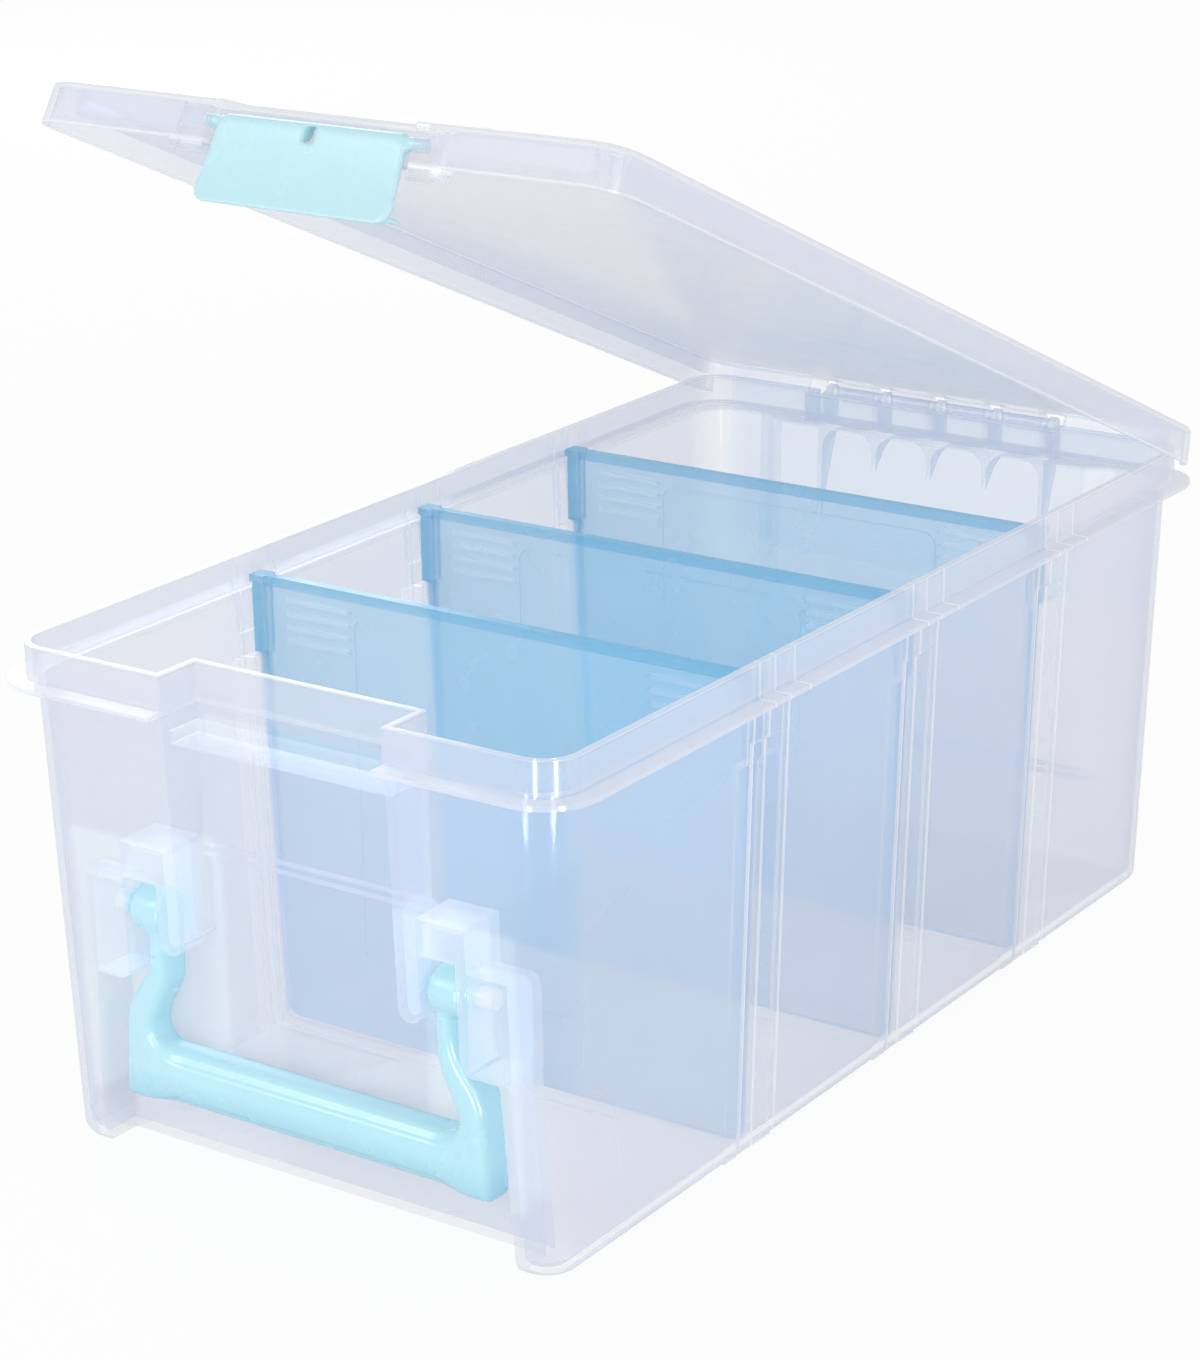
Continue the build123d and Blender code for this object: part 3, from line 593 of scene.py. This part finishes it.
@dataclass
class Shell:
    """Clear tub and the lid hinged to it."""

    finish: ClearShellFinish = field(default_factory=ClearShellFinish)
    lid_finish: ClearShellFinish = field(default_factory=lambda: ClearShellFinish(milk=0.11))
    # The first two blocks, at the front by the latch, carry painted light: a glow and a paler tint
    # in place of the shade that the many clear layers leave there. The third, at the hinge comb,
    # is milkier, bluer plastic.
    folds: tuple[Zone, ...] = (
        Zone(low=(0.038, -0.2, 0.02), high=(0.080, -0.160, 0.104), glow=0.08),
        Zone(
            low=(-1.0, -0.192, 0.1365),
            high=(0.0385, -0.171, 0.1435),
            soft=0.0005,
            share=0.4,
            glow=0.05,
        ),
        Zone(
            low=(-1.0, 0.180, 0.10),
            high=(0.085, 0.206, 0.171),
            share=1.25,
            tint=(0.66, 0.75, 0.90, 1.0),
        ),
    )
    # Bright lines along the rim, the flange, the neck and the guide ribs: partly milkier thick
    # plastic, partly painted highlight along their edges.
    rim: Line = Line(axis=2, centre=0.1594, half=0.0003, weight=0.5)
    flange: Line = Line(axis=2, centre=0.1477, half=0.0007, weight=0.45)
    neck: Line = Line(axis=2, centre=0.1538, half=0.0045, weight=0.22)
    guide_stations: tuple[float, ...] = (-0.081, 0.007, 0.093)
    guide_edges: tuple[float, ...] = (-0.0070, 0.0013, 0.0120)
    lid_open: float = 24.0
    hinge: tuple[float, float] = (0.19207, 0.15824)
    lid_closed: float = 0.1512
    lid_bend_x: float = 0.0994
    lid_bend_y: float = 0.1924
    lid_bend_z: float = 0.0111

    def tub_lines(self) -> tuple[Line, ...]:
        """List the rim, the flange, the neck between them and the ribs of the divider guides."""
        guides = tuple(
            Line(axis=1, centre=station + edge, half=0.0004, weight=0.75)
            for station in self.guide_stations
            for edge in self.guide_edges
        )
        return (self.rim, self.flange, self.neck, *guides)

    def lid_lines(self) -> tuple[Line, ...]:
        """List the skirt's lower edge and the rounded border of the plate."""
        # Lid edges and plate border get the same bright lines, partly painted highlight.
        return (
            Line(axis=2, centre=0.0, half=0.0005, weight=0.8),
            Line(axis=2, centre=self.lid_bend_z, half=0.0003, weight=0.5),
            Line(axis=0, centre=self.lid_bend_x, half=0.0004, weight=0.5),
            Line(axis=0, centre=-self.lid_bend_x, half=0.0004, weight=0.5),
            Line(axis=1, centre=-self.lid_bend_y, half=0.0004, weight=0.5),
        )

    def build(self) -> None:
        """Dress the tub and the lid."""
        tub = self.finish.material("clear_base", self.tub_lines(), zones=self.folds)
        dress("base", tub)
        turn = math.radians(self.lid_open)
        y, z = self.hinge
        rise = z - self.lid_closed
        pivot = Vector((
            0.0,
            y - y * math.cos(turn) - rise * math.sin(turn),
            z + y * math.sin(turn) - rise * math.cos(turn),
        ))
        dress("lid", self.lid_finish.material("clear_lid", self.lid_lines(), -turn, pivot))


def softened_copy(node: str, name: str, voxel: float, passes: int) -> bpy.types.Object:
    """Copy a CAD node with soft moulded edges in place of its crisp ones.

    Args:
        node: Name of the CAD node.
        name: Name of the new piece.
        voxel: Cell size of the remesh in metres.
        passes: Number of smoothing passes.

    Returns:
        The new piece, which stands for the node.
    """
    merged = bmesh.new()
    merged.from_mesh(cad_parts[node].data)
    bmesh.ops.remove_doubles(merged, verts=merged.verts, dist=1e-6)
    mesh = bpy.data.meshes.new(f"{name}_draft")
    merged.to_mesh(mesh)
    merged.free()
    piece = bpy.data.objects.new(name, mesh)
    bpy.context.scene.collection.objects.link(piece)
    cells = piece.modifiers.new("cells", "REMESH")
    cells.mode = "VOXEL"
    cells.voxel_size = voxel
    graph = bpy.context.evaluated_depsgraph_get()
    remeshed = bpy.data.meshes.new_from_object(piece.evaluated_get(graph))
    piece.modifiers.clear()
    piece.data = remeshed
    remeshed.name = name
    smooth(piece, passes)
    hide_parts(node)
    return piece


def smooth(piece: bpy.types.Object, passes: int) -> None:
    """Smooth a piece's mesh and its shading.

    Args:
        piece: Piece to smooth.
        passes: Number of smoothing passes.
    """
    soft = bmesh.new()
    soft.from_mesh(piece.data)
    for _ in range(passes):
        bmesh.ops.smooth_vert(
            soft, verts=soft.verts, factor=0.5, use_axis_x=True, use_axis_y=True, use_axis_z=True
        )
    for face in soft.faces:
        face.smooth = True
    soft.to_mesh(piece.data)
    soft.free()


@dataclass
class Latch:
    """Flared latch plate that hangs from its two pins in the lid."""

    finish: SolidPlasticFinish = field(default_factory=lambda: SolidPlasticFinish(
        light=(0.56, 0.83, 0.90, 1.0),
        deep=(0.54, 0.81, 0.89, 1.0),
    ))
    voxel: float = 0.0006
    passes: int = 3

    def build(self) -> None:
        """Build the soft-edged plate over its CAD node."""
        piece = softened_copy("latch", "latch_plate", self.voxel, self.passes)
        piece.data.materials.clear()
        piece.data.materials.append(self.finish.material("aqua_latch"))
        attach(piece, "latch")
        log.info("latch plate built")


@dataclass
class CarryHandle:
    """Swinging handle whose grip is oval towards the hand."""

    finish: SolidPlasticFinish = field(default_factory=lambda: SolidPlasticFinish(
        light=(0.54, 0.84, 0.94, 1.0),
        deep=(0.51, 0.82, 0.92, 1.0),
        pins=Zone(
            low=(0.0643, -1.0, 0.07),
            high=(1.0, 1.0, 1.0),
            soft=0.0005,
            tint=(0.80, 0.88, 0.94, 1.0),
        ),
        # Painted shade on the grip: darker towards its bottom, below 30 mm up.
        painted_shade_top=0.030,
    ))
    voxel: float = 0.0008
    passes: int = 9
    grip_centre: tuple[float, float] = (-0.1774, 0.028)
    grip_half: tuple[float, float] = (0.0061, 0.009)
    reach: float = 1.3
    oval_to: float = 0.047
    oval_ends: float = 0.060

    def round_grip(self, piece: bpy.types.Object) -> None:
        """Draw the front half of the grip's box section in to an oval.

        Args:
            piece: The handle.
        """
        shaped = bmesh.new()
        shaped.from_mesh(piece.data)
        centre_y, centre_z = self.grip_centre
        half_y, half_z = self.grip_half
        for vert in shaped.verts:
            across = (vert.co.y - centre_y) / half_y
            up = (vert.co.z - centre_z) / half_z
            if across >= 0.0 or abs(up) > self.reach:
                continue
            inward = (self.oval_ends - abs(vert.co.x)) / (self.oval_ends - self.oval_to)
            share = min(max(inward, 0.0), 1.0)
            share = share * share * (3.0 - 2.0 * share)
            square = max(abs(across), abs(up))
            oval = math.hypot(across, up)
            scale = 1.0 + share * (square / oval - 1.0)
            vert.co.y = centre_y + across * scale * half_y
            vert.co.z = centre_z + up * scale * half_z
        shaped.to_mesh(piece.data)
        shaped.free()

    def build(self) -> None:
        """Build the soft-edged handle over its CAD node."""
        piece = softened_copy("handle", "carry_handle", self.voxel, 1)
        self.round_grip(piece)
        smooth(piece, self.passes)
        piece.data.materials.clear()
        piece.data.materials.append(self.finish.material("aqua_handle"))
        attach(piece, "handle")
        log.info("carry handle built")


@dataclass
class Dividers:
    """Three upright plates that part the tub."""

    nodes: tuple[str, ...] = ("divider_front", "divider_middle", "divider_rear")
    finish: TintedSheetFinish = field(default_factory=TintedSheetFinish)
    top: float = 0.153
    rail: float = 0.003
    bead: float = 0.0917
    bead_width: float = 0.0044
    mark_weight: float = 0.7
    # Ticks are painted paler: a painted highlight on the raised marks.
    tick_heights: tuple[float, ...] = (0.1460, 0.1416, 0.1372, 0.1328)
    tick_reach: tuple[float, float] = (0.057, 0.081)
    tick_half: float = 0.0007
    tick_highlight_share: float = 0.35

    def build(self) -> None:
        """Dress each divider."""
        rail, bead, weight = self.rail / 2, self.bead_width / 2, self.mark_weight
        lines = (
            Line(axis=2, centre=self.top - rail, half=rail, weight=weight),
            Line(axis=0, centre=self.bead, half=bead, weight=weight),
            Line(axis=0, centre=-self.bead, half=bead, weight=weight),
        )
        inner, outer = self.tick_reach
        ticks = tuple(
            Zone(
                low=(inner, -1.0, z - self.tick_half),
                high=(outer, 1.0, z + self.tick_half),
                soft=0.0006,
                share=self.tick_highlight_share,
            )
            for z in self.tick_heights
        )
        for node in self.nodes:
            dress(node, self.finish.material(f"blue_{node}", lines, ticks))


@dataclass(frozen=True)
class Lamp:
    """Area lamp that faces the case, or a narrow strip that only shows in gloss."""

    name: str
    place: tuple[float, float, float]
    size: float
    power: float
    strip: bool = False


@dataclass
class Studio:
    """White sweep, soft lamps and camera."""

    floor_half: float = 3.0
    floor_colour: Colour = (0.92, 0.92, 0.92, 1.0)
    floor_roughness: float = 0.9
    floor_glow: float = 0.90
    sky_strength: float = 0.67
    azimuth: float = 34.673
    elevation: float = 18.982
    roll: float = -0.782
    eye: tuple[float, float, float] = (0.6167, -0.9179, 0.4910)
    lens: float = 95.7
    strip_height: float = 0.10
    aim: tuple[float, float, float] = (0.0, 0.0, 0.12)
    lamp_list: tuple[Lamp, ...] = (
        Lamp("key", (-1.1, -1.9, 1.3), 0.7, 13.0),
        Lamp("fill", (1.9, -0.6, 1.1), 0.6, 7.5),
        Lamp("back", (-1.65, 1.45, 1.0), 0.8, 7.0),
        Lamp("low_front", (0.16, -0.80, 0.08), 0.16, 0.25),
        Lamp("low_side", (0.85, -0.22, 0.08), 0.16, 0.35),
        Lamp("strip_front", (0.118, -0.434, 0.067), 0.02, 0.5, strip=True),
        Lamp("strip_lid", (0.46, -0.484, 0.405), 0.03, 0.7, strip=True),
        Lamp("strip_side", (0.322, -0.291, 0.067), 0.03, 0.7, strip=True),
    )

    def build(self) -> None:
        """Set up floor, world, lamps and camera."""
        self.floor()
        self.world()
        self.lamps()
        self.camera()
        bpy.context.scene.view_settings.view_transform = "Standard"

    def floor(self) -> None:
        """Lay a plain pale floor that shows the camera pure white and keeps the shadow."""
        mesh = bpy.data.meshes.new("floor")
        sheet = bmesh.new()
        bmesh.ops.create_grid(sheet, x_segments=1, y_segments=1, size=self.floor_half)
        sheet.to_mesh(mesh)
        sheet.free()
        plate = bpy.data.objects.new("floor", mesh)
        bpy.context.scene.collection.objects.link(plate)
        mat, tree, shader = new_material("pale_floor")
        shader.inputs["Base Color"].default_value = self.floor_colour
        shader.inputs["Roughness"].default_value = self.floor_roughness
        glow = tree.nodes.new("ShaderNodeEmission")
        glow.inputs["Strength"].default_value = 1.0
        share = tree.nodes.new("ShaderNodeMath")
        share.operation = "MULTIPLY"
        share.inputs[1].default_value = self.floor_glow
        mix = tree.nodes.new("ShaderNodeMixShader")
        tree.links.new(camera_or_glass_ray(tree), share.inputs[0])
        tree.links.new(share.outputs[0], mix.inputs[0])
        tree.links.new(shader.outputs[0], mix.inputs[1])
        tree.links.new(glow.outputs[0], mix.inputs[2])
        tree.links.new(mix.outputs[0], tree.nodes["Material Output"].inputs["Surface"])
        mesh.materials.append(mat)

    def world(self) -> None:
        """Light from all round, with pure white where the camera looks past everything."""
        world = bpy.data.worlds.new("studio")
        bpy.context.scene.world = world
        world.use_nodes = True
        tree = world.node_tree
        soft = tree.nodes["Background"]
        soft.inputs["Color"].default_value = WHITE
        soft.inputs["Strength"].default_value = self.sky_strength
        white = tree.nodes.new("ShaderNodeBackground")
        white.inputs["Color"].default_value = WHITE
        white.inputs["Strength"].default_value = 1.0
        mix = tree.nodes.new("ShaderNodeMixShader")
        tree.links.new(camera_or_glass_ray(tree), mix.inputs[0])
        tree.links.new(soft.outputs[0], mix.inputs[1])
        tree.links.new(white.outputs[0], mix.inputs[2])
        tree.links.new(mix.outputs[0], tree.nodes["World Output"].inputs["Surface"])

    def lamps(self) -> None:
        """Hang soft boxes left, right and behind, and the strips for the bars of light."""
        for lamp in self.lamp_list:
            light = bpy.data.lights.new(lamp.name, "AREA")
            light.shape = "RECTANGLE" if lamp.strip else "SQUARE"
            light.size = lamp.size
            light.size_y = self.strip_height
            light.energy = lamp.power
            holder = bpy.data.objects.new(lamp.name, light)
            holder.visible_camera = False
            holder.visible_diffuse = not lamp.strip
            bpy.context.scene.collection.objects.link(holder)
            turn = (Vector(self.aim) - Vector(lamp.place)).to_track_quat("-Z", "Y")
            holder.matrix_world = Matrix.Translation(lamp.place) @ turn.to_matrix().to_4x4()

    def camera(self) -> None:
        """Place the camera at the photograph's view."""
        azimuth, elevation = math.radians(self.azimuth), math.radians(self.elevation)
        roll = math.radians(self.roll)
        back = Vector((
            math.sin(azimuth) * math.cos(elevation),
            -math.cos(azimuth) * math.cos(elevation),
            math.sin(elevation),
        ))
        level = Vector((math.cos(azimuth), math.sin(azimuth), 0.0))
        upright = back.cross(level)
        right = math.cos(roll) * level + math.sin(roll) * upright
        above = -math.sin(roll) * level + math.cos(roll) * upright
        camera = bpy.data.cameras.new("camera")
        camera.lens = self.lens
        camera.sensor_width = 36.0
        camera.clip_start = 0.01
        holder = bpy.data.objects.new("camera", camera)
        bpy.context.scene.collection.objects.link(holder)
        turn = Matrix((right, above, back)).transposed().to_4x4()
        holder.matrix_world = Matrix.Translation(self.eye) @ turn
        bpy.context.scene.camera = holder


def main() -> None:
    """Dress the satchel and set up its studio."""
    logging.basicConfig(level=logging.INFO)
    Shell().build()
    Latch().build()
    CarryHandle().build()
    Dividers().build()
    Studio().build()


if __name__ == "__main__":
    main()
